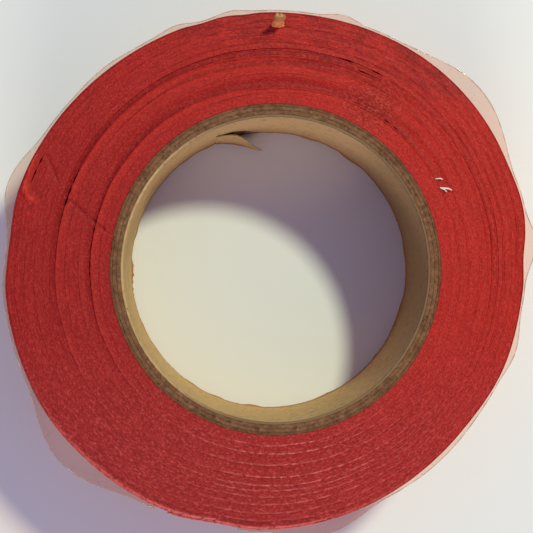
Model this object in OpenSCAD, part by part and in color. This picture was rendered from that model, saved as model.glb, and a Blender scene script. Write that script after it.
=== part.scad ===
// Roll of vinyl electrical tape: a paper core, an off-round winding whose turns have slipped
// sideways in bundles, a free tape end, and the loose clear wrapper band still round it.
// Millimetres. The core's axis is the Z axis, and the roll lies on the plane z = 0.

/* [Core] */
// Bore of the paper core
core_bore_d = 38.1; // [25:0.1:76.2]
// Thickness of the liner ply that faces the bore
liner_ply_t = 0.3; // [0.1:0.05:1]
// Thickness of each of the two chipboard body plies
body_ply_t = 0.5; // [0.2:0.05:2]
// Thickness of the cover ply under the tape
cover_ply_t = 0.3; // [0.1:0.05:1]
// Gap between neighbouring plies
ply_gap = 0.01; // [0.005:0.005:0.05]
// Height that the core stands proud of the tape's width
core_proud = 0.3; // [0:0.05:1]

/* [Tape] */
// Width of the tape
tape_w = 19; // [9:0.5:50]
// Thickness of the tape
tape_t = 0.15; // [0.1:0.01:0.3]
// Number of turns on the core
turn_count = 77; // [40:1:120]
// Gap between neighbouring bundles of turns
bundle_gap = 0.02; // [0.01:0.005:0.05]
// How far the most slipped bundle stands up from the floor plane
slip_h = 0.3; // [0:0.05:0.6]

/* [Out of round] */
// Sideways shift of the rim's centre from the core's axis
rim_shift = 1.2; // [0:0.1:2]
// Direction of the shift, in degrees from +X
shift_dir = 177; // [0:1:360]
// Height of the rim's two opposite oval lobes
oval_h = 0.45; // [0:0.05:0.8]
// Direction of the first oval lobe
oval_dir = 37; // [0:1:180]
// Height of the rim's three lobes
trefoil_h = 0.2; // [0:0.05:0.6]
// Direction of the first of the three lobes
trefoil_dir = 32; // [0:1:120]
// Depth of the dent beside the tape's end
dent_depth = 0.4; // [0:0.05:1]

/* [Tape end] */
// Direction of the line where the free end peels away
peel_dir = 256.5; // [250:0.5:259]
// Length of the free end
end_len = 6; // [3:0.5:7]
// Clearance round the peel line and under the free end
peel_gap = 0.05; // [0.03:0.01:0.1]

/* [Wrapper band] */
// Thickness of the clear film
film_t = 0.1; // [0.05:0.01:0.3]
// Clearance between the film and the tape where they are closest
film_gap = 0.12; // [0.08:0.01:0.5]
// Height of the film's lower edge above the floor plane
film_foot = 0.2; // [0:0.05:1]
// Scale of the film's loose bulges
film_slack = 1; // [0.2:0.1:1.5]
// Angle between the tape's end and each cut edge of the film
film_clear = 3; // [2:0.5:6]

/* [Hidden] */

// Turns in each bundle, from the core outwards, as shares of all the turns but the last
bundle_shares = [9, 7, 9, 10, 7, 4, 5, 6, 7, 6, 6];
// How far each bundle has slipped along the axis, as a share of slip_h
bundle_slips = [0.9, 1, 0.5, 0.7, 0.3, 0.5, 0.15, 0.25, 0, 0.1, 0];
bundles = len(bundle_shares);
first_bundle = 4;
share_sum = sum(bundle_shares, bundles);
bundled_turns = turn_count - 1;

bore_r = core_bore_d / 2;
inner_body_r = bore_r + liner_ply_t + ply_gap;
outer_body_r = inner_body_r + body_ply_t + ply_gap;
cover_r = outer_body_r + body_ply_t + ply_gap;
core_r = cover_r + cover_ply_t;
core_len = tape_w + core_proud;

// Sides of the round outlines, and the angle that one side spans
sides = 120;
side_angle = 360 / sides;
core_facets = 180;
// Sharpness with which the lobes and the dent fade towards the round core
lobe_fade = 2;
dent_fade = 4;
// Half the angle that the dent spans
dent_half = 10;

rim_r = core_r + turn_count * tape_t + (bundles + 1) * bundle_gap;
end_dir = peel_dir - end_len / rim_r * 180 / PI;
film_start = peel_dir + film_clear + 2;
film_end = end_dir + 360 - film_clear;
film_facets = 240;
// Loose bulges of the film: direction, half the angle spanned, height
film_bulges = [[281, 15, 1.4], [312, 24, 0.35], [341, 9, 0.5], [365, 9, 1.3], [401, 21, 1.7],
    [435, 6, 0.55], [459, 6, 0.35], [473, 6, 0.35], [491, 10, 0.2], [522, 13, 1.2],
    [582, 18, 2.1]];

function sum(list, count) = count == 0 ? 0 : list[count - 1] + sum(list, count - 1);
function polar(r, a) = [r * cos(a), r * sin(a)];
function hump(a, centre, half) =
    let (off = abs((a - centre + 540) % 360 - 180))
    off < half ? 0.5 + 0.5 * cos(180 * off / half) : 0;

// Out-of-round height of the rim at direction a
function lobes(a) = rim_shift * cos(a - shift_dir) + oval_h * cos(2 * (a - oval_dir))
    + trefoil_h * cos(3 * (a - trefoil_dir));
// Radius at direction a after n turns and g bundle gaps: round at the core, off-round at the rim
function turn_r(a, n, g) =
    let (share = n / turn_count)
    core_r + n * tape_t + g * bundle_gap + pow(share, lobe_fade) * lobes(a)
    - pow(share, dent_fade) * dent_depth * hump(a, peel_dir, dent_half);
// Part of a turn wound between the tape's cut edge and direction a
function wound(a) = (a - end_dir) / 360;
function bundle_end(k) = bundled_turns * sum(bundle_shares, k) / share_sum;
function slip(k) = slip_h * bundle_slips[k - 1];
function film_off(a) = film_gap
    + film_slack * sum([for (b = film_bulges) b[2] * hump(a, b[0], b[1])], len(film_bulges));
function film_r(a) = turn_r(a, turn_count, bundles + 1) + film_off(a);

turn_dirs = [for (i = [0:sides - 1]) peel_dir + i * side_angle];
function closed_turn(n, g) = [for (a = turn_dirs) polar(turn_r(a, n, g), a)];
// The spiral that the outermost turn lies on, which steps down by one tape at the peel line
spiral_dirs = concat(turn_dirs, [peel_dir + 360]);
function spiral_turn(n, g) = [for (a = spiral_dirs) polar(turn_r(a, n - wound(a), g), a)];

// A tube of the core, between two radii
module ply(r_in, t) {
    difference() {
        cylinder(h = core_len, r = r_in + t, $fn = core_facets);
        translate([0, 0, -1]) cylinder(h = core_len + 2, r = r_in, $fn = core_facets);
    }
}

module core_liner_ply() { color([0.72, 0.58, 0.36]) ply(bore_r, liner_ply_t); }
module core_inner_body_ply() { color([0.46, 0.40, 0.31]) ply(inner_body_r, body_ply_t); }
module core_outer_body_ply() { color([0.46, 0.40, 0.31]) ply(outer_body_r, body_ply_t); }
module core_cover_ply() { color([0.52, 0.45, 0.34]) ply(cover_r, cover_ply_t); }

// One bundle of turns, k counted from the core; the first has the core's round seat
module turns(k) {
    color([0.66, 0.15, 0.15]) translate([0, 0, slip(k)])
        difference() {
            linear_extrude(height = tape_w)
                polygon(k == bundles ? spiral_turn(bundled_turns, k) : closed_turn(bundle_end(k), k));
            if (k == 1)
                translate([0, 0, -1])
                    cylinder(h = tape_w + 2, r = core_r + bundle_gap, $fn = core_facets);
            else
                translate([0, 0, -1]) linear_extrude(height = tape_w + 2)
                    polygon(closed_turn(bundle_end(k - 1), k));
        }
}

// The last turn, from just past the peel line round to where it runs under the free end
module outer_turn() {
    cut = (tape_t / 2 + peel_gap) / rim_r * 180 / PI;
    dirs = concat([peel_dir + cut], [for (i = [1:sides - 1]) turn_dirs[i]], [peel_dir + 360 - cut]);
    color([0.66, 0.15, 0.15]) linear_extrude(height = tape_w)
        polygon(concat(
            [for (a = dirs) polar(turn_r(a, turn_count - wound(a), bundles + 1), a)],
            [for (i = [len(dirs) - 1:-1:0])
                polar(turn_r(dirs[i], bundled_turns - wound(dirs[i]), bundles + 1), dirs[i])]));
}

// The free end: a short curved flap with a round root on the peel line
peel_r = turn_r(peel_dir, turn_count - 0.5 - wound(peel_dir), bundles + 1) + peel_gap;
module tape_end() {
    steps = 4;
    dirs = [for (i = [0:steps]) end_dir + (peel_dir - end_dir) * i / steps];
    color([0.70, 0.16, 0.15]) union() {
        linear_extrude(height = tape_w)
            polygon(concat(
                [for (a = dirs) polar(turn_r(a, turn_count - wound(a), bundles + 1) + peel_gap, a)],
                [for (i = [steps:-1:0])
                    polar(turn_r(dirs[i], bundled_turns - wound(dirs[i]), bundles + 1) + peel_gap,
                        dirs[i])]));
        translate(concat(polar(peel_r, peel_dir), [0]))
            cylinder(h = tape_w, r = tape_t / 2, $fn = 24);
    }
}

// The open band of clear film, standing on edge round the roll in loose bulges
module wrapper_band() {
    dirs = [for (i = [0:film_facets]) film_start + (film_end - film_start) * i / film_facets];
    color([0.95, 0.88, 0.82, 0.35]) translate([0, 0, film_foot])
        linear_extrude(height = tape_w - film_foot)
            polygon(concat(
                [for (a = dirs) polar(film_r(a) + film_t, a)],
                [for (i = [film_facets:-1:0]) polar(film_r(dirs[i]), dirs[i])]));
}

core_liner_ply();
core_inner_body_ply();
core_outer_body_ply();
core_cover_ply();
for (k = [1:bundles])
    turns(k);
outer_turn();
tape_end();
wrapper_band();
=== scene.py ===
import math

import bpy
import numpy as np
from mathutils import Matrix, Vector


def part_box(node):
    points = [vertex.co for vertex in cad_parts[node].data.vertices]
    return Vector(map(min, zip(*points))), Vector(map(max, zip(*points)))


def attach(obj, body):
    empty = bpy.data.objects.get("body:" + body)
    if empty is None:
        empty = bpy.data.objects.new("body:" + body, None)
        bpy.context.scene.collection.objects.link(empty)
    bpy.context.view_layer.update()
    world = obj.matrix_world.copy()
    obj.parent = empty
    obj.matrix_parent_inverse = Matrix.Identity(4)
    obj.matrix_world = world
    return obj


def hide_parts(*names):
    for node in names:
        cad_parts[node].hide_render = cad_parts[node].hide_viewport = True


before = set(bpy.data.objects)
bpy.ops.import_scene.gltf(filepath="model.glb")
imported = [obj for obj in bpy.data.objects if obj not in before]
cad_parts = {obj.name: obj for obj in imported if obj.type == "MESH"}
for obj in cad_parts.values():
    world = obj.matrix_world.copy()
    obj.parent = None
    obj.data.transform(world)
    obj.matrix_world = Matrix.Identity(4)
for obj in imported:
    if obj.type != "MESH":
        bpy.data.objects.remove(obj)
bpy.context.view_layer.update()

# ---------------------------------------------------------------------------
# Core liner. The strip of tan kraft paper wound first on the mandrel, so that it faces the bore.
# It is cut with the core, and its two ends are a little ragged.
# ---------------------------------------------------------------------------

# Sizes are in millimetres and directions in degrees, unless a comment says otherwise
MM = 0.001
ROWS = 1080
PEEL_DIR = 256.5
TAPE_W, TAPE_T = round(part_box("turns_11")[1].z / MM, 3), 0.15
# Rings of points down a wall, as shares of its height: close together near the edges
DEPTHS = np.array([0, 0.12, 0.4, 1, 2.5, 6, 10, 14, 17, 18.3, 19]) / 19
# How fast a gape at a wall's top closes further down, and the mean radius of the winding
GAPE_DEPTH, MEAN_R = 1.2, 26
all_round = np.radians(PEEL_DIR) + np.arange(ROWS) * 2 * math.pi / ROWS


def node_points(node):
    """The angle, radius and height of each corner of a CAD node, in radians and millimetres."""
    corners = np.array([v.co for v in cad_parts[node].data.vertices]) / MM
    return np.arctan2(corners[:, 1], corners[:, 0]), np.hypot(corners[:, 0], corners[:, 1]), corners[:, 2]


def ripple(angle, seed, lowest, highest):
    """A smooth closed wave round the roll, mostly between -1 and 1, with that range of waves in a turn."""
    draw = np.random.RandomState(seed)
    total, power = np.zeros_like(angle), 0.0
    for waves in range(lowest, highest + 1):
        size, phase = draw.uniform(0.4, 1.0), draw.uniform(0, 2 * math.pi)
        total = total + size * np.cos(waves * angle + phase)
        power += size * size
    return total / math.sqrt(2 * power)


def off_centre(angle, centre):
    """How far each angle, in radians, lies from a direction in degrees, between -180 and 180 degrees."""
    return (np.degrees(angle) - centre + 540) % 360 - 180


def hump(angle, centre, half):
    """A raised-cosine bump in direction, 1 at centre and 0 beyond half, both in degrees."""
    off = np.abs(off_centre(angle, centre)) / half
    return np.where(off < 1, 0.5 + 0.5 * np.cos(math.pi * np.minimum(off, 1)), 0.0)


def round_off(distance, edge):
    """How far a rounded edge has fallen at that distance in from it."""
    return edge - np.sqrt(np.maximum(edge ** 2 - np.maximum(edge - distance, 0) ** 2, 0))


def ring_grid(angles, inner, outer, low, high, edge, relief, across=14, edge_in=None,
              gape_in=0.0, gape_out=0.0):
    """A closed section carried round the roll: up the outside, inwards over the top, down the inside,
    and out underneath. relief gives the top's height at an angle, a share of the way out and a radius.
    The gapes draw the top of either wall back. Returns the points and their shares of the way out."""
    angle = angles[:, None]
    edge_in = edge if edge_in is None else edge_in
    inner, outer, edge, edge_in, gape_in, gape_out = (
        np.broadcast_to(np.asarray(v, float).reshape(-1, 1), angle.shape)
        for v in (inner, outer, edge, edge_in, gape_in, gape_out))
    even = np.linspace(0, 1, across)[None, :]
    spread = even ** 2 * (3 - 2 * even)
    inner_top, outer_top = inner + gape_in, outer - gape_out
    top_radius = inner_top + spread * (outer_top - inner_top)
    top = high + relief(angle, spread, top_radius) \
        - round_off(top_radius - inner_top, edge_in) - round_off(outer_top - top_radius, edge)
    under_radius = inner + spread * (outer - inner)
    under = low + round_off(under_radius - inner, edge_in) + round_off(outer - under_radius, edge)
    drop = np.exp(-DEPTHS[None, :] * (high - low) / GAPE_DEPTH)
    out_wall = outer - gape_out * drop
    in_wall = inner + gape_in * drop
    out_height = top[:, -1:] + (under[:, -1:] - top[:, -1:]) * DEPTHS[None, :]
    in_height = top[:, :1] + (under[:, :1] - top[:, :1]) * DEPTHS[None, :]
    radius = np.hstack([out_wall[:, ::-1], top_radius[:, -2:0:-1], in_wall, under_radius[:, 1:-1]])
    height = np.hstack([out_height[:, ::-1], top[:, -2:0:-1], in_height, under[:, 1:-1]])
    share = np.tile(np.concatenate([np.ones(len(DEPTHS)), spread[0, -2:0:-1], np.zeros(len(DEPTHS)),
                                    spread[0, 1:-1]]), (len(angles), 1))
    return np.stack([radius * np.cos(angle), radius * np.sin(angle), height], -1), share


def skin(name, grid, finish, body, closed=True, marks=None):
    """A smooth mesh through a grid of points: first index round the roll, then round the section.
    An open run gets a flat cap at each end. marks holds named values for each point."""
    rows, cols = grid.shape[:2]
    row, col = np.meshgrid(np.arange(rows if closed else rows - 1), np.arange(cols), indexing="ij")
    next_row, next_col = (row + 1) % rows, (col + 1) % cols
    faces = np.stack([row * cols + col, next_row * cols + col,
                      next_row * cols + next_col, row * cols + next_col], -1).reshape(-1, 4).tolist()
    if not closed:
        faces.append(list(range(cols)))
        faces.append([(rows - 1) * cols + c for c in reversed(range(cols))])
    mesh = bpy.data.meshes.new(name)
    mesh.from_pydata((grid.reshape(-1, 3) * MM).tolist(), [], faces)
    for mark, values in (marks or {}).items():
        stored = mesh.attributes.new(mark, "FLOAT", "POINT")
        stored.data.foreach_set("value", values.ravel().astype(np.float32))
    mesh.shade_smooth()
    if not closed:
        for cap in (-2, -1):
            mesh.polygons[cap].use_smooth = False
    mesh.materials.append(finish.material)
    piece = bpy.data.objects.new(name, mesh)
    bpy.context.scene.collection.objects.link(piece)
    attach(piece, body)
    return piece


class Wire:
    """One output socket of a material, so that sums on it are written as sums."""

    def __init__(self, finish, socket):
        self.finish, self.socket = finish, socket

    def maths(self, operation, *values):
        return self.finish.node("ShaderNodeMath", {"operation": operation}, dict(enumerate(values)))

    def __add__(self, other): return self.maths("ADD", self, other)
    def __radd__(self, other): return self.maths("ADD", other, self)
    def __sub__(self, other): return self.maths("SUBTRACT", self, other)
    def __rsub__(self, other): return self.maths("SUBTRACT", other, self)
    def __mul__(self, other): return self.maths("MULTIPLY", self, other)
    def __rmul__(self, other): return self.maths("MULTIPLY", other, self)
    def __truediv__(self, other): return self.maths("DIVIDE", self, other)
    def __rtruediv__(self, other): return self.maths("DIVIDE", other, self)
    def __pow__(self, other): return self.maths("POWER", self, other)

    def step(self, start, end):
        """0 below start, 1 above end, and smooth between them."""
        return self.finish.node("ShaderNodeMapRange", {"interpolation_type": "SMOOTHSTEP"},
                                {"Value": self, "From Min": start, "From Max": end})


class Finish:
    """One material, built from nodes round a Principled shader with its constant values set."""

    def __init__(self, name, **constants):
        self.material = bpy.data.materials.new(name)
        self.material.use_nodes = True
        self.nodes = self.material.node_tree.nodes
        self.links = self.material.node_tree.links
        self.surface = self.nodes["Principled BSDF"]
        for socket, value in constants.items():
            self.surface.inputs[socket.replace("_", " ")].default_value = value

    def node(self, kind, settings=None, sockets=None, output=0):
        """Any node: its type, its settings, and the values or wires of its sockets."""
        made = self.nodes.new(kind)
        for key, value in (settings or {}).items():
            setattr(made, key, value)
        for key, value in (sockets or {}).items():
            if isinstance(value, Wire):
                self.links.new(value.socket, made.inputs[key])
            else:
                made.inputs[key].default_value = value
        return Wire(self, made.outputs[output])

    def feed(self, socket, wire):
        self.links.new(wire.socket, self.surface.inputs[socket])

    def place(self):
        """Where the point is in the piece's own frame, in metres."""
        return self.node("ShaderNodeTexCoord", output="Object")

    def vector(self, operation, *values, output=0):
        return self.node("ShaderNodeVectorMath", {"operation": operation}, dict(enumerate(values)), output)

    def toward(self, direction):
        """How far the point lies from the piece's own origin along a direction, in metres."""
        return self.vector("DOT_PRODUCT", self.place(), direction, output="Value")

    def near(self, point, reach, full):
        """1 within full of a point, 0 beyond reach, in metres."""
        return self.vector("DISTANCE", self.place(), point, output="Value").step(reach, full)

    def mark(self, name):
        """A value that the mesh carries at each point."""
        return self.node("ShaderNodeAttribute", {"attribute_name": name}, output="Fac")

    def wound(self, along, across):
        """Noise coordinates that follow the winding: metres round the roll, and metres across it."""
        heading = self.vector("NORMALIZE", self.vector("MULTIPLY", self.place(), (1, 1, 0)))
        ring = self.vector("MULTIPLY", heading, (MEAN_R * MM * along,) * 3)
        rise = self.vector("MULTIPLY", self.place(), (0, 0, across))
        step = self.node("ShaderNodeCombineXYZ", {}, {2: self.mark("wound") * across})
        return self.vector("ADD", self.vector("ADD", ring, rise), step)

    def noise(self, vector, scale, detail=2.0, roughness=0.5):
        """Noise from 0 to 1, with so many grains in a metre."""
        return self.node("ShaderNodeTexNoise", {}, {"Vector": vector, "Scale": scale, "Detail": detail,
                                                    "Roughness": roughness})

    def mix(self, share, first, second):
        """A colour between two colours."""
        return self.node("ShaderNodeMix", {"data_type": "RGBA"}, {0: share, 6: first, 7: second}, output=2)

    def bump(self, height, distance, strength=1.0):
        self.feed("Normal", self.node("ShaderNodeBump", {}, {"Height": height, "Distance": distance,
                                                             "Strength": strength}))


kraft = Finish("liner_kraft", Roughness=0.85)
kraft.surface.inputs["Specular IOR Level"].default_value = 0.2
kraft_fibres = kraft.noise(kraft.wound(1.0, 3.0), 900, 3.0, 0.6)
kraft_cloud = kraft.noise(kraft.place(), 160, 2.0)
kraft_specks = kraft.noise(kraft.place(), 1500, 2.0).step(0.63, 0.70)
kraft_tone = kraft.mix(kraft_cloud, (0.59, 0.375, 0.155, 1), (0.71, 0.475, 0.205, 1))
kraft_tone = kraft.mix(kraft_fibres.step(0.35, 0.7) * 0.6, kraft_tone, (0.40, 0.245, 0.11, 1))
# Painted shade: the upper wall, turned away from the lamp, is tinted grey-blue like the room's light.
kraft_upper = kraft.toward((0.3, 0.95, 0)).step(0.004, 0.016)
kraft_tone = kraft.mix(kraft_upper * 0.35, kraft_tone, (0.50, 0.365, 0.255, 1))
# Painted shade: the right-hand wall, turned away from the lamp, is darkened.
kraft_right = kraft.toward((0.98, 0.2, 0)).step(0.011, 0.019)
kraft_tone = kraft.mix(kraft_right * 0.5, kraft_tone, (0.17, 0.095, 0.05, 1))
kraft_tone = kraft.mix(kraft_specks * 0.6, kraft_tone, (0.16, 0.09, 0.045, 1))
kraft_height = kraft.toward((0, 0, 1))
# Painted shade: the liner's cut top edge is darkened, much less on the left, where the lamp lights it.
kraft_top = kraft_height.step(0.0188, 0.0191) * kraft.noise(kraft.wound(1.0, 1.0), 380, 2.0).step(0.1, 0.25)
kraft_left = kraft.toward((-1, 0, 0)).step(0.004, 0.016)
kraft_tone = kraft.mix(kraft_top * (0.85 - kraft_left * 0.65), kraft_tone, (0.17, 0.09, 0.045, 1))
kraft_foot = (kraft_height + kraft_fibres * 0.0016).step(0.0028, 0.0014)
kraft_tone = kraft.mix(kraft_foot * 0.85, kraft_tone, (0.40, 0.15, 0.03, 1))
# Where the liner has come away: bared board, darkened further with painted shadow from the loose sliver.
kraft_tone = kraft.mix(kraft.mark("torn_and_shaded"), kraft_tone, (0.085, 0.045, 0.024, 1))
kraft.feed("Base Color", kraft_tone)
kraft.bump(kraft_fibres, 0.00006, 0.6)


# Where the liner has come away: the stretch of directions, its height at the root, and its fall per degree
TORN_FROM, TORN_TO, TORN_H, TORN_SLOPE = 90, 112, 8, 0.62


def ply(name, node, finish, seed, rough, wander, burr=0.0):
    """One round ply of the core: rough cut ends, an inner face that wanders, and a burr at its foot.
    The mark for where the liner has come away from the foot of the bore is painted by the liner's finish as
    bared board, darkened further with painted shadow from the sliver."""
    _, radii, heights = node_points(node)
    inner, outer, low, high = radii.min(), radii.max(), heights.min(), heights.max()

    def relief(angle, share, radius):
        return -rough * (0.5 + 0.3 * ripple(angle + 2.1 * share, seed, 30, 130)
                         + 0.2 * ripple(angle, seed + 1, 3, 12))

    grid, share = ring_grid(all_round, inner, outer, low, high, 0.05, relief, across=8)
    wave = ripple(all_round, seed + 2, 2, 14)[:, None]
    grid[..., :2] *= (1 + wander / inner * wave * (1 - share))[..., None]
    torn_foot = np.maximum(ripple(all_round, seed + 3, 5, 30), 0) \
        + 0.5 * np.maximum(ripple(all_round, seed + 4, 60, 160) * ripple(all_round, seed + 5, 4, 15), 0)
    foot = burr * np.exp(-grid[..., 2] / 0.9) * torn_foot[:, None]
    grid[..., :2] *= (1 - foot / inner * (1 - share))[..., None]
    turn = np.degrees(all_round)[:, None] % 360
    torn_high = TORN_H - TORN_SLOPE * (TORN_TO - 2 - turn)
    torn_and_shaded = (turn > TORN_FROM) * (turn < TORN_TO) * (grid[..., 2] < torn_high)
    piece = skin(name, grid, finish, "roll",
                 marks={"wound": (inner + share * (outer - inner)) * MM, "torn_and_shaded": torn_and_shaded * (share < 0.5)})
    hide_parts(node)
    return piece


liner = ply("core_liner", "core_liner_ply", kraft, 3, 0.12, 0.02, burr=0.2)

# The sliver of the liner that has torn loose at the foot of the bore, and curls inwards from its root.
# For each station: direction, upper radius and height, lower radius and height.
SLIVER = [(113, 18.98, 9.0, 18.95, 0.1), (110.5, 18.93, 8.3, 18.7, 0.1), (107, 18.72, 7.7, 18.25, 0.3),
          (104, 18.45, 7.0, 17.8, 0.5), (101, 17.85, 5.6, 17.35, 0.8), (98.5, 17.05, 4.2, 16.95, 1.0),
          (96, 16.7, 3.1, 16.65, 1.5), (93.7, 16.4, 2.25, 16.4, 2.0)]


def loose_strip(name, stations, finish, thick, body):
    """A thin curled strip through stations, each a direction, an upper and a lower radius and height."""
    table = np.array(stations)
    where = np.linspace(0, len(table) - 1, 40)
    turn, r_up, z_up, r_low, z_low = (np.interp(where, np.arange(len(table)), column) for column in table.T)
    across = np.linspace(0, 1, 9)
    belly = 0.10 * np.sin(math.pi * across) * (r_up > 16.6)[:, None]
    radius = r_up[:, None] + (r_low - r_up)[:, None] * across + belly
    height = z_up[:, None] + (z_low - z_up)[:, None] * across \
        + 0.10 * ripple(where[:, None] * 0.5, 41, 4, 12) * np.abs(2 * across - 1) ** 4
    front = np.stack([radius - thick / 2, height], -1)
    back = np.stack([radius + thick / 2, height], -1)[:, ::-1]
    section = np.concatenate([front, back], 1)[:, ::-1]
    angle = np.radians(turn)[:, None]
    grid = np.stack([section[..., 0] * np.cos(angle), section[..., 0] * np.sin(angle), section[..., 1]], -1)
    marks = {"wound": section[..., 0] * MM, "torn_and_shaded": 0 * section[..., 0]}
    return skin(name, grid[:, ::-1], finish, body, closed=False, marks=marks)


loose_strip("liner_sliver", SLIVER, kraft, 0.16, "roll")

# ---------------------------------------------------------------------------
# Body plies. Two strips of grey-brown chipboard, wound in a spiral and glued on the liner.
# The knife crushed their end faces, so their fibres stand up.
# ---------------------------------------------------------------------------


def board(name, dark, light, streak):
    """Chipboard seen on its cut edge: dark mottled pulp with fibres that run round the core."""
    finish = Finish(name, Roughness=0.9)
    finish.surface.inputs["Specular IOR Level"].default_value = 0.15
    fibres = finish.noise(finish.wound(1.0, 1.3), 1500, 4.0, 0.65)
    pulp = finish.noise(finish.place(), 900, 4.0, 0.65)
    pits = finish.noise(finish.place(), 2300, 2.0)
    tone = finish.mix(pulp.step(0.25, 0.75), dark, light)
    tone = finish.mix(fibres.step(0.46, 0.74) * 0.5, tone, streak)
    tone = finish.mix(pits.step(0.58, 0.68) * 0.45, tone, (0.05, 0.028, 0.015, 1))
    finish.feed("Base Color", tone)
    finish.bump(fibres + pits, 0.00008, 0.8)
    return finish


chipboard = board("body_chipboard", (0.12, 0.048, 0.022, 1), (0.23, 0.107, 0.050, 1),
                  (0.36, 0.20, 0.105, 1))
for name, seed in (("core_inner_body", 11), ("core_outer_body", 21)):
    ply(name, name + "_ply", chipboard, seed, 0.16, 0.0)

# ---------------------------------------------------------------------------
# Cover ply. The last strip of the core, a darker paper that the first turn of tape sticks to.
# ---------------------------------------------------------------------------

cover_board = board("cover_paper", (0.11, 0.042, 0.019, 1), (0.20, 0.09, 0.041, 1), (0.28, 0.14, 0.07, 1))
ply("core_cover", "core_cover_ply", cover_board, 31, 0.14, 0.0)

# ---------------------------------------------------------------------------
# Bundles of turns. One strip of red soft vinyl, slit to width, wound so that its cut edge is the roll's
# face. Groups of turns have slipped sideways together, and each group's last edge is rolled up in a lip.
# ---------------------------------------------------------------------------

BUNDLES = 11
# A step or crease this deep is fully dark below and fully bright above
DEEP = 0.2
# Cracks between two bundles: the inner bundle's number, direction, half the angle, and opening
CRACKS = [(5, 160, 11, 0.16), (2, 175, 21, 0.10), (6, 63, 4, 0.13), (6, 71, 5, 0.2), (5, 66, 5, 0.13),
          (4, 60, 5, 0.06), (2, 51, 9, 0.10), (10, 158.5, 2.6, 0.2), (10, 155.6, 1.6, 0.12),
          (1, 100, 12, 0.03)]
# A joint with no crack is pressed this far shut
SHUT = -0.008
# Creases across the turns: direction and radius at each end, half the width, and depth
CREASES = [(161, 27.6, 167, 22.0, 0.17, 0.22), (153.6, 31.8, 157.8, 29.4, 0.16, 0.12),
           (63, 26.4, 60, 24.6, 0.2, 0.06), (70, 31, 74, 27.8, 0.25, 0.08),
           (167, 32, 163, 30.6, 0.15, 0.08)]
# Swellings of the face: direction, radius, half the length, half the width, height
SWELLS = [(159.5, 32.9, 2.2, 0.28, 0.34), (164, 31.7, 0.5, 0.8, 0.25), (162.5, 32.4, 0.9, 0.25, 0.25),
          (156.5, 33.0, 1.2, 0.25, 0.24), (167, 31.5, 0.4, 0.5, 0.15),
          (66, 27.2, 3.0, 1.2, 0.10), (5, 29.8, 6.0, 0.8, -0.08)]
# Height of each bundle's crest above the tape's nominal edge, at some directions round the roll
CREST_DIRS = [10, 45, 85, 150, 188, 225, 270, 320]
CRESTS = [[0.24, 0.24, 0.20, 0.16, 0.18, 0.24, 0.12, 0.14, 0.06, 0.09, 0.05],
          [0.24, 0.30, 0.18, 0.22, 0.20, 0.24, 0.14, 0.16, 0.10, 0.10, 0.06],
          [0.25, 0.32, 0.24, 0.20, 0.28, 0.20, 0.12, 0.16, 0.08, 0.10, 0.06],
          [0.22, 0.32, 0.12, 0.20, 0.33, 0.06, 0.08, 0.11, 0.14, 0.17, 0.18],
          [0.21, 0.26, 0.18, 0.20, 0.25, 0.12, 0.12, 0.13, 0.13, 0.13, 0.10],
          [0.20, 0.22, 0.20, 0.19, 0.18, 0.17, 0.15, 0.14, 0.13, 0.10, 0.04],
          [0.27, 0.30, 0.24, 0.26, 0.20, 0.22, 0.16, 0.18, 0.12, 0.14, 0.06],
          [0.24, 0.24, 0.21, 0.20, 0.18, 0.17, 0.15, 0.14, 0.11, 0.10, 0.05]]
# Step down outside each bundle's crest, at the same directions
STEPS = [[0.02, 0.08, 0.05, 0.06, 0.06, 0.18, 0.07, 0.10, 0.05, 0.10, 0.03],
         [0.03, 0.20, 0.06, 0.10, 0.08, 0.14, 0.09, 0.08, 0.08, 0.05, 0.03],
         [0.02, 0.26, 0.04, 0.22, 0.26, 0.04, 0.06, 0.04, 0.05, 0.04, 0.03],
         [0.00, 0.24, 0.01, 0.01, 0.30, 0.00, 0.01, 0.00, 0.01, 0.01, 0.01],
         [0.01, 0.13, 0.01, 0.01, 0.07, 0.01, 0.01, 0.01, 0.01, 0.01, 0.01],
         [0.01, 0.03, 0.01, 0.01, 0.01, 0.01, 0.01, 0.01, 0.01, 0.01, 0.00],
         [0.07, 0.09, 0.07, 0.09, 0.08, 0.06, 0.05, 0.05, 0.04, 0.03, 0.02],
         [0.02, 0.03, 0.03, 0.03, 0.03, 0.03, 0.02, 0.03, 0.02, 0.02, 0.02]]
# Where the rim swells or is pressed in: direction, half the angle, height
RIM_SWELLS = [(14, 12, 0.36), (45, 40, 0.2), (135, 42, -0.34), (174, 12, -0.4), (212, 16, 0.15),
              (336, 18, 0.32), (97, 4, -0.12), (107, 5, -0.16), (2, 7, -0.2)]


def outline(node, angles, closed=True):
    """The inner and outer radius of a wound CAD node at each angle."""
    angle, radius, _ = node_points(node)
    turn = np.round((np.degrees(angle) - PEEL_DIR) % 360, 2) % 360
    far = radius > 0.5 * (radius.min() + 21.5) if node == "turns_01" else radius > 0
    stops = np.unique(turn[far])
    outer = np.array([radius[turn == s].max() for s in stops])
    inner = np.array([radius[turn == s].min() for s in stops])
    if node == "turns_01":
        inner[:] = radius.min()
    if closed:
        stops = np.append(stops, 360)
        last = 2 * outer[-1] - outer[-2] if node == "turns_11" else outer[0]
        outer, inner = np.append(outer, last), np.append(inner, inner[0])
    where = (np.degrees(angles) - PEEL_DIR) % 360
    return np.interp(where, stops, inner), np.interp(where, stops, outer)


def at(radius, turn):
    """A point of the face, from a radius and a direction."""
    return radius * np.cos(np.radians(turn)), radius * np.sin(np.radians(turn))


def rim_at(angles):
    """The radius of the roll's side, at each angle."""
    return outline("outer_turn", angles, closed=False)[1] + rim_swell(angles)


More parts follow.
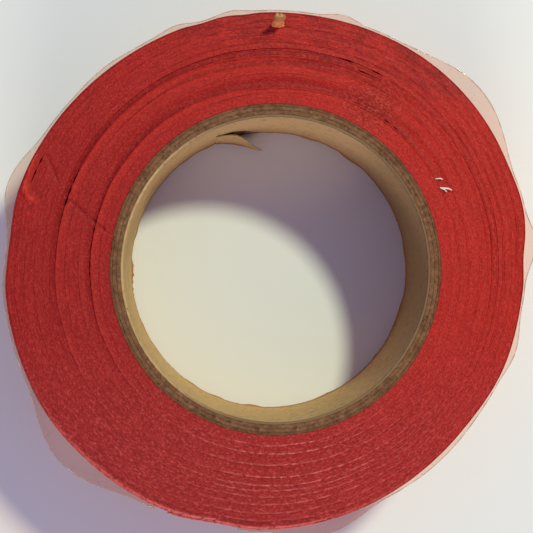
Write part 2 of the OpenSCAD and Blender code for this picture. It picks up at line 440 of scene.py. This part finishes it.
def crease_depth(angle, radius):
    """How far the face is pressed in along its creases."""
    x, y = radius * np.cos(angle), radius * np.sin(angle)
    total = 0.0
    for dir_a, r_a, dir_b, r_b, half, depth in CREASES:
        (ax, ay), (bx, by) = at(r_a, dir_a), at(r_b, dir_b)
        run_x, run_y = bx - ax, by - ay
        along = np.clip(((x - ax) * run_x + (y - ay) * run_y) / (run_x ** 2 + run_y ** 2), 0, 1)
        away = np.hypot(x - ax - along * run_x, y - ay - along * run_y)
        total = total + depth * np.exp(-(away / half) ** 2)
    return total


def swelling(angle, radius):
    """How far the face is pushed up where it has been knocked or has crumpled."""
    total = 0.0
    ragged = 1 + 0.8 * ripple(angle + radius / 40, 401, 70, 100)
    for where, middle, long, wide, rise in SWELLS:
        along = off_centre(angle, where) * math.pi / 180 * middle
        total = total + rise * (ragged if wide < 1 else 1) \
            * np.exp(-(along / long) ** 2 - ((radius - middle) / wide) ** 2)
    return total


def face_height(angle, radius):
    """The rise or fall of the face in its creases, its swellings and its shoulder, rounded off by wear,
    most on the low side where the roll has stood on its edge.
    """
    wear_and_glint = np.maximum(0.15 + 0.35 * hump(angle, 258, 50) + radius - rim_at(angle), 0)
    return swelling(angle, radius) - crease_depth(angle, radius) - wear_and_glint ** 2 / 1.4


def rim_swell(angles):
    """How far the rim swells out or is pressed in."""
    return sum(height * hump(angles, where, half) for where, half, height in RIM_SWELLS)


# Where a joint lies off its even line: the inner bundle's number, direction, half the angle, and shift
BENDS = [(2, 92, 40, -0.35), (4, 92, 40, -0.40), (5, 92, 40, -0.25)]


def wander(k, angles):
    """How far the joint outside bundle k wanders from its even line."""
    if k == 0:
        return 0.0
    wave = 0.0 if k == BUNDLES else 0.035 * ripple(angles, 100 + k, 4, 24)
    for joint, where, half, shift in BENDS:
        if joint == k:
            wave = wave + shift * hump(angles, where, half)
    return wave + rim_swell(angles) * (k / BUNDLES) ** 3


def crack(k, angles):
    """How far either side of the joint outside bundle k stands open, ragged along its length."""
    gape = np.full_like(angles, SHUT)
    for joint, where, half, opening in CRACKS:
        if joint == k:
            ragged = 0.75 + 0.7 * ripple(angles, 160 + k, 50, 130)
            gape = gape + opening / 2 * hump(angles, where, half) * ragged
    return np.maximum(gape, SHUT)


def rim_highlight_and_shade(angles):
    """How strongly the rim's shoulder is painted with a highlight, and the band just inside it with shade:
    most on the low side, which faces the window.
    """
    return hump(angles, 252, 62)


def round_table(table, k, angles):
    """Bundle k's value in a table of directions, at each angle."""
    return np.interp(np.degrees(angles), CREST_DIRS, [row[k - 1] for row in table], period=360)


def crest(k, angles):
    """How far bundle k's crest stands above the tape's nominal edge."""
    return round_table(CRESTS, k, angles) + 0.02 * ripple(angles, 220 + k, 3, 14)


def step_down(k, angles):
    """The step outside bundle k's crest, ragged along its length."""
    even = round_table(STEPS, k, angles)
    return even * (1 + 0.45 * ripple(angles, 180 + k, 8, 40) + 0.25 * ripple(angles, 190 + k, 60, 200))


vinyl = Finish("red_vinyl", Roughness=0.55)
vinyl.surface.inputs["Specular IOR Level"].default_value = 0.2
vinyl.surface.inputs["Coat Roughness"].default_value = 0.3
vinyl_streaks = vinyl.noise(vinyl.wound(1.0, 6.0), 420, 3.0, 0.6)
vinyl_leather = vinyl.noise(vinyl.wound(1.0, 2.2), 2300, 4.0, 0.7)
vinyl_grain = vinyl.noise(vinyl.place(), 4200, 2.0, 0.6)
vinyl_cloud = vinyl.noise(vinyl.place(), 200, 3.0, 0.6)
# Parts of the face: toward the light side, painted lighter; the low side, facing the window; the upper rim;
# and a paler patch, partly scuffed and partly painted sheen
vinyl_lit = vinyl.toward((0.92, 0.38, 0)).step(-0.028, 0.03)
vinyl_low = vinyl.toward((0, -1, 0)).step(0.004, 0.024)
vinyl_cut = 1 - vinyl.mark("side") * 0.85
vinyl_upper = vinyl.toward((0.2, 0.98, 0)).step(0.0245, 0.0275) * vinyl_cut
vinyl_patch = vinyl.near((0.0119, 0.0207, 0.019), 0.0052, 0.001) * vinyl_leather.step(0.35, 0.65)
# Where the grain is rougher and painted glints are strongest: the low side and the patch.
vinyl_scuff_and_glints = vinyl_low + vinyl_patch * 0.7
vinyl_tone = vinyl.mix(vinyl_lit, (0.325, 0.0075, 0.0053, 1), (0.495, 0.0135, 0.0062, 1))
# Each layer of colour over the last: how much of it shows, and its colour
for share, tone in (
        (vinyl_cloud.step(0.38, 0.62) * (0.15 + vinyl_upper * 0.65), (0.25, 0.006, 0.005, 1)),
        (vinyl_upper * 0.2, (0.30, 0.007, 0.0055, 1)),
        # Painted light: the low side, which faces the window, is lighter.
        (vinyl_low * 0.35, (0.46, 0.024, 0.022, 1)),
        # The patch, paler: partly scuffed, partly a painted sheen from the lamp.
        (vinyl_patch * 0.8, (0.62, 0.08, 0.05, 1)),
        (vinyl_streaks.step(0.47, 0.64) * (0.15 + vinyl_upper * 0.35), (0.58, 0.03, 0.018, 1)),
        (vinyl_streaks.step(0.50, 0.34) * (0.15 + vinyl_upper * 0.45), (0.20, 0.005, 0.005, 1)),
        # Painted highlight on the crests that stand above the next bundle, and on swellings.
        (vinyl.mark("raised_highlight") * 0.5, (0.64, 0.035, 0.018, 1)),
        (vinyl.mark("shade") * (0.35 + vinyl_leather.step(0.58, 0.38) * 0.5), (0.22, 0.0045, 0.0035, 1)),
        (vinyl_grain.step(0.5, 0.34) * 0.3, (0.18, 0.005, 0.005, 1)),
        (vinyl_grain.step(0.52, 0.66) * 0.2, (0.66, 0.07, 0.055, 1)),
        (vinyl_leather.step(0.53, 0.36) * (0.35 + vinyl_low * 0.2 + vinyl_upper * 0.3) * vinyl_cut,
         (0.20, 0.005, 0.005, 1)),
        # Pale specks in the grain: painted glints, strongest on the low side and the patch.
        (vinyl_leather.step(0.52, 0.66) * (0.13 + vinyl_scuff_and_glints * 0.32) * vinyl_cut, (0.72, 0.11, 0.10, 1)),
        # Painted highlight on the lip edges and the rim's shoulder, mostly on the low side.
        (vinyl.mark("wear_and_glint") * vinyl_leather.step(0.32, 0.55) * (0.08 + vinyl_low * 0.75),
         (0.84, 0.16, 0.145, 1))):
    vinyl_tone = vinyl.mix(share, vinyl_tone, tone)
vinyl.feed("Base Color", vinyl_tone)
vinyl.feed("Coat Weight", vinyl_low * 0.15)
vinyl.feed("Roughness", 0.55 - vinyl.mark("side") * 0.2)
vinyl.bump((vinyl_streaks * 0.3 + vinyl_leather * 0.6 + vinyl_grain * 0.8) * (0.5 + vinyl_scuff_and_glints * 0.5)
           * (1 - vinyl.mark("side") * 0.9), 0.0002, 1.0)

for k in range(1, BUNDLES + 1):
    node = "turns_%02d" % k
    inner, outer = outline(node, all_round)
    low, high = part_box(node)[0].z / MM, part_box(node)[1].z / MM
    inner, outer = inner + wander(k - 1, all_round), outer + wander(k, all_round)
    width = (outer - inner)[:, None]
    crest_high = crest(k, all_round)[:, None]
    step_high = step_down(k, all_round)[:, None]
    fallen = round_table(STEPS, k - 1, all_round)[:, None] if k > 1 else 0.0
    start_high = crest(k - 1, all_round)[:, None] - fallen if k > 1 else crest_high - 0.04


    def relief(angle, share, radius):
        lip = 0.9 * step_high * np.exp(-(((1 - share) * width - 0.13) / 0.07) ** 2) \
            * (1 - 0.7 * hump(angle, 236, 26))
        turns = 0.010 * ripple(0 * angle + 12 * radius, 260 + k, 1, 4)
        valley = -0.75 * fallen * np.sin(math.pi * np.minimum(share * width / 1.3, 1))
        return start_high + (crest_high - start_high) * share ** 1.4 + turns + lip + valley \
            + face_height(angle, radius)

    soft = np.clip(0.02 + 0.8 * step_high.ravel(), 0.015, 0.18)
    grid, share = ring_grid(all_round, inner, outer, low, TAPE_W, soft, relief, across=24, edge_in=0.012,
                            gape_in=crack(k - 1, all_round) if k > 1 else 0.0,
                            gape_out=crack(k, all_round) if k < BUNDLES else 0.0)
    wound = (inner.mean() + share * (outer.mean() - inner.mean())) * MM
    inwards = (1 - share) * width
    # Painted highlight along each lip's edge, strongest on the low side, which faces the window.
    wear_and_glint = np.clip(step_high / 0.09, 0, 1.3) * np.exp(-((inwards - 0.11) / 0.09) ** 2) \
        * (0.2 + 0.8 * hump(all_round, 278, 48)[:, None]) \
        * np.clip(1 + 0.9 * ripple(all_round, 200 + k, 30, 160), 0, 2)[:, None]
    face, radius = grid[..., 2] > TAPE_W - 0.5, np.hypot(grid[..., 0], grid[..., 1])
    shade = np.minimum(fallen / DEEP, 1.2) * np.exp(-share * width / 0.6) \
        + crease_depth(all_round[:, None], radius) / DEEP
    # How much crests and swellings are lightened as a painted highlight.
    raised_highlight = np.minimum(round_table(STEPS, k, all_round)[:, None] / DEEP, 1.2) * np.exp(-inwards / 0.5) \
        + np.maximum(swelling(all_round[:, None], radius), 0) / DEEP
    if k == 1:
        shade = shade + 0.8 * hump(all_round, 185, 75)[:, None] * np.exp(-share * width / 0.3)
    if k == BUNDLES:
        # Painted highlight on the rim's shoulder, and painted shade in the groove just inside it.
        wear_and_glint = wear_and_glint + rim_highlight_and_shade(all_round)[:, None] * np.exp(-(inwards / 0.28) ** 4)
        shade = shade + rim_highlight_and_shade(all_round)[:, None] * np.exp(-((inwards - 0.75) / 0.35) ** 2)
    bundle = skin("bundle_%02d" % k, grid, vinyl, "roll",
                  marks={"wound": wound, "wear_and_glint": wear_and_glint * face,
                         "shade": shade * face, "raised_highlight": raised_highlight * face})
    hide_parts(node)

# ---------------------------------------------------------------------------
# Outer turn. The last turn of the same strip, from the line where the free end peels away, once round,
# to under the free end. Its smooth face shows on the roll's side.
# ---------------------------------------------------------------------------


turn_angle = (np.degrees(node_points("outer_turn")[0]) - PEEL_DIR) % 360
# It is drawn up to the free end's root on one side, and nearly to the peel line under it on the other
turn_start, turn_stop = turn_angle.min() - 0.07, min(turn_angle.max() + 0.2, 359.99)
turn_run = np.radians(PEEL_DIR + np.linspace(turn_start, turn_stop, ROWS))
inner, outer = outline("outer_turn", turn_run, closed=False)
inner, outer = inner + rim_swell(turn_run), outer + rim_swell(turn_run)


def rim_relief(angle, share, radius):
    return crest(BUNDLES, angle) + 0.02 * ripple(angle, 302, 25, 90) + face_height(angle, radius)


def single_turn(name, run, inner, outer, body, **edges):
    """A strip one tape thick along a run of angles, with its smooth face outwards."""
    grid, share = ring_grid(run, inner, outer, 0.0, TAPE_W, 0.07, rim_relief, across=8, **edges)
    # The rim's top is marked for a painted highlight.
    return skin(name, grid, vinyl, body, closed=False,
                marks={"wound": (inner.mean() + share * TAPE_T) * MM, "side": share > 0.97,
                       "wear_and_glint": rim_highlight_and_shade(run)[:, None] * (grid[..., 2] > TAPE_W - 1)})


last_turn = single_turn("last_turn", turn_run, inner, outer, "roll", edge_in=0.02)
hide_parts("outer_turn")

# ---------------------------------------------------------------------------
# Free tape end. The last few millimetres of the strip, cut square, lying on the turn below.
# It bends up from the line where it peels away.
# ---------------------------------------------------------------------------

flap_angle, flap_radius, _ = node_points("tape_end")
flap_turn = off_centre(flap_angle, PEEL_DIR)
# The round root on the peel line: its half width in degrees, and its radii
RIM_R = 33
root = np.degrees(TAPE_T / 2 / RIM_R)
at_root = flap_radius[np.abs(flap_turn) < 0.2]
flap_stops = np.unique(np.round(flap_turn, 2))
flap_stops = flap_stops[flap_stops < -0.3]
at_stops = [flap_radius[np.round(flap_turn, 2) == stop] for stop in flap_stops] + [at_root]
flap_stops = np.append(flap_stops, 0.0)
flap_where = np.concatenate([np.linspace(flap_turn.min(), 0, 34),
                             root * np.sin(np.linspace(0, math.pi / 2, 7)[1:])])
flap_run = np.radians(PEEL_DIR + flap_where)
inner = np.interp(flap_where, flap_stops, [radii.min() for radii in at_stops]) + rim_swell(flap_run)
outer = np.interp(flap_where, flap_stops, [radii.max() for radii in at_stops]) + rim_swell(flap_run)
shut = (1 - np.sqrt(1 - np.clip(flap_where / root, 0, 0.99) ** 2)) * (outer - inner) / 2
loose_end = single_turn("loose_end", flap_run, inner + shut, outer - shut, "free_end")
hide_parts("tape_end")

# ---------------------------------------------------------------------------
# Wrapper band. A band of clear film, shrunk or slipped round the roll when it was sold, now slit and
# loose. Its pale pink-orange tint is partly its own and partly painted reflection of the red tape, and
# its cut upper edge holds dirt.
# ---------------------------------------------------------------------------

film = Finish("clear_film", Roughness=0.12)
film.surface.inputs["IOR"].default_value = 1.5
film.feed("Base Color", film.mix(film.noise(film.place(), 900, 2.0).step(0.4, 0.7),
                                 (0.42, 0.24, 0.15, 1), (0.62, 0.42, 0.30, 1)))
film.bump(film.noise(film.place(), 260, 2.0), 0.0006, 0.5)
# The tint of what shows through: partly the film's own, partly painted reflection of the red tape.
clear = film.node("ShaderNodeBsdfTransparent", {}, {0: (1.0, 0.90, 0.84, 1)})
mirror = 0.02 + 0.12 * film.node("ShaderNodeLayerWeight", {}, {0: 0.5}, output="Facing") ** 5
dirt = film.noise(film.wound(1.0, 1.0), 900, 3.0).step(0.3, 0.6)
edge_dirt = film.toward((0, 0, 1)).step(0.01868, 0.0189) * dirt * 0.8
specks = film.noise(film.place(), 1500, 2.0).step(0.70, 0.76) * 0.35
gloss = film.node("ShaderNodeBsdfGlossy", {}, {0: (1, 0.96, 0.92, 1), 1: 0.15})
sheen = film.node("ShaderNodeMixShader", {}, {0: mirror, 1: clear, 2: gloss})
whole = film.node("ShaderNodeMixShader", {}, {0: edge_dirt + specks, 1: sheen,
                                              2: Wire(film, film.surface.outputs[0])})
film.links.new(whole.socket, film.nodes["Material Output"].inputs["Surface"])

film_angle, film_radius, film_height = node_points("wrapper_band")
film_turn = (np.degrees(film_angle) - PEEL_DIR) % 360
film_stops = np.unique(np.round(film_turn, 2))
film_inner = np.array([film_radius[np.abs(film_turn - s) < 0.006].min() for s in film_stops])
film_outer = np.array([film_radius[np.abs(film_turn - s) < 0.006].max() for s in film_stops])
film_run = np.radians(PEEL_DIR + np.linspace(film_turn.min(), film_turn.max(), ROWS))
film_where = np.degrees(film_run) - PEEL_DIR
inner = np.interp(film_where, film_stops, film_inner) + rim_swell(film_run)
outer = np.interp(film_where, film_stops, film_outer) + rim_swell(film_run)


def film_relief(angle, share, radius):
    return -0.08 + 0.05 * ripple(angle, 321, 6, 60)


grid, share = ring_grid(film_run, inner, outer, film_height.min(), film_height.max(), 0.03, film_relief,
                        across=5)
wrapper = skin("wrapper_film", grid, film, "wrapper", closed=False, marks={"wound": share * MM})
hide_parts("wrapper_band")

# ---------------------------------------------------------------------------
# Crumb and fibres. An orange flake, perhaps of dried glue, stands in the tape near the rim, and pale
# fibres are stuck to the face, one of them forked. They are dirt that the adhesive has picked up.
# ---------------------------------------------------------------------------

flake_finish = Finish("orange_flake", Roughness=0.6)
flake_blotch = flake_finish.noise(flake_finish.place(), 1500, 3.0, 0.6)
flake_tip = (flake_finish.toward((0, 0, 1)) + flake_blotch * 0.002).step(0.0212, 0.0224)
flake_tone = flake_finish.mix(flake_blotch.step(0.3, 0.7), (0.85, 0.20, 0.04, 1), (1.0, 0.52, 0.19, 1))
flake_tone = flake_finish.mix(flake_tip, flake_tone, (0.56, 0.27, 0.10, 1))
flake_finish.feed("Base Color", flake_tone)
flake_finish.bump(flake_blotch, 0.0005, 0.8)

rise = np.linspace(0, 1, 26)[:, None]
around = np.linspace(0, 2 * math.pi, 33)[:-1][None, :]
flake_half = 0.74 - 0.12 * rise + 0.13 * ripple(5 * rise + 0.3 * np.sign(np.cos(around)), 51, 1, 6)
flake_thick = 0.26 + 0.05 * ripple(4 * rise, 52, 1, 5)
knobs = 0.09 * ripple(around + 3 * rise, 53, 3, 14)
# Its foot is sunk in the face at flake_at, and it leans outwards as it rises
flake_at, flake_high, flake_lean = (0.15, 30.45, 18.7), 3.6, 0.7
flake_grid = np.stack([flake_at[0] + (flake_half + knobs) * np.cos(-around) + 0.15 * rise,
                       flake_at[1] + (flake_thick + knobs) * np.sin(-around) + flake_lean * rise ** 1.3,
                       flake_at[2] + flake_high * rise + 0.3 * ripple(around, 54, 1, 9) * rise], -1)
skin("orange_crumb", flake_grid, flake_finish, "roll", closed=False)

cotton = Finish("pale_cotton", Roughness=0.8)
cotton.feed("Base Color", cotton.mix(cotton.noise(cotton.place(), 2500),
                                     (0.72, 0.62, 0.45, 1), (0.9, 0.86, 0.74, 1)))


def fibre(name, stations, thick):
    """A fine fibre through stations, each a direction, a radius and a height, tapering to its ends."""
    table = np.array(stations)
    where = np.linspace(0, len(table) - 1, 24)
    turn, radius, height = (np.interp(where, np.arange(len(table)), column) for column in table.T)
    spine = np.stack([*at(radius, turn), height], -1)
    along = np.gradient(spine, axis=0)
    along /= np.linalg.norm(along, axis=1, keepdims=True)
    side = np.cross(along, (0, 0, 1))
    side /= np.linalg.norm(side, axis=1, keepdims=True)
    over = np.cross(side, along)
    size = thick / 2 * np.sin(math.pi * np.linspace(0.06, 0.94, 24)) ** 0.4
    loop = np.linspace(0, 2 * math.pi, 9)[:-1]
    ring = spine[:, None] + size[:, None, None] * (np.cos(loop)[None, :, None] * over[:, None]
                                                   + np.sin(loop)[None, :, None] * side[:, None])
    return skin(name, ring, cotton, "roll", closed=False)


fibre("cotton_fibre_a", [(24.3, 24.15, 19.38), (25.2, 23.8, 19.5), (26.0, 23.2, 19.46),
                         (26.6, 22.9, 19.4)], 0.2)
fibre("cotton_fibre_b", [(24.4, 23.5, 19.36), (25.4, 23.3, 19.48), (26.3, 22.95, 19.4)], 0.13)
fibre("cotton_fibre_c", [(28.4, 23.7, 19.36), (29.0, 23.5, 19.46), (29.7, 22.9, 19.38)], 0.14)

# ---------------------------------------------------------------------------
# Floor, light and camera. A pale table top, one small lamp high on the right, a wide window on the low
# side, and a cool room round them.
# ---------------------------------------------------------------------------

floor_finish = Finish("pale_table", Roughness=0.7)
floor_finish.surface.inputs["Base Color"].default_value = (0.80, 0.79, 0.77, 1)
floor_mesh = bpy.data.meshes.new("floor")
reach = 3
floor_mesh.from_pydata([(-reach, -reach, 0), (reach, -reach, 0), (reach, reach, 0), (-reach, reach, 0)],
                       [], [(0, 1, 2, 3)])
floor_mesh.materials.append(floor_finish.material)
floor = bpy.data.objects.new("floor", floor_mesh)
bpy.context.scene.collection.objects.link(floor)


def lamp(name, colour, watts, size, direction, rise, distance):
    """A disc lamp that faces the roll from a direction and a height above it, both in degrees."""
    data = bpy.data.lights.new(name, "AREA")
    data.shape, data.size, data.energy, data.color = "DISK", size, watts, colour
    made = bpy.data.objects.new(name, data)
    flat = math.cos(math.radians(rise))
    aim = Vector((flat * math.cos(math.radians(direction)), flat * math.sin(math.radians(direction)),
                  math.sin(math.radians(rise))))
    made.location = aim * distance + Vector((0, 0, 0.015))
    made.rotation_euler = aim.to_track_quat("Z", "Y").to_euler()
    bpy.context.scene.collection.objects.link(made)
    return made


key = lamp("key_lamp", (0.913, 1.0, 0.73), 2.85, 0.07, 51, 53, 0.6)
window = lamp("window", (1.0, 0.859, 0.631), 4.7, 0.45, -90, 25, 1.0)
world = bpy.data.worlds.new("room")
bpy.context.scene.world = world
world.use_nodes = True
world.node_tree.nodes["Background"].inputs[0].default_value = (0.47, 0.495, 1.0, 1)
world.node_tree.nodes["Background"].inputs[1].default_value = 0.44

camera_data = bpy.data.cameras.new("camera")
camera_data.sensor_width, camera_data.lens = 36, 91.2
camera = bpy.data.objects.new("camera", camera_data)
camera.location = (-0.0089, -0.00032, 0.1873)
sight = (camera.location - Vector((-0.00124, 0.00036, 0.0193))).normalized()
right = Vector((0, 1, 0)).cross(sight).normalized()
camera.rotation_euler = Matrix((right, sight.cross(right), sight)).transposed().to_euler()
bpy.context.scene.collection.objects.link(camera)
bpy.context.scene.camera = camera
bpy.context.scene.view_settings.view_transform = "Standard"
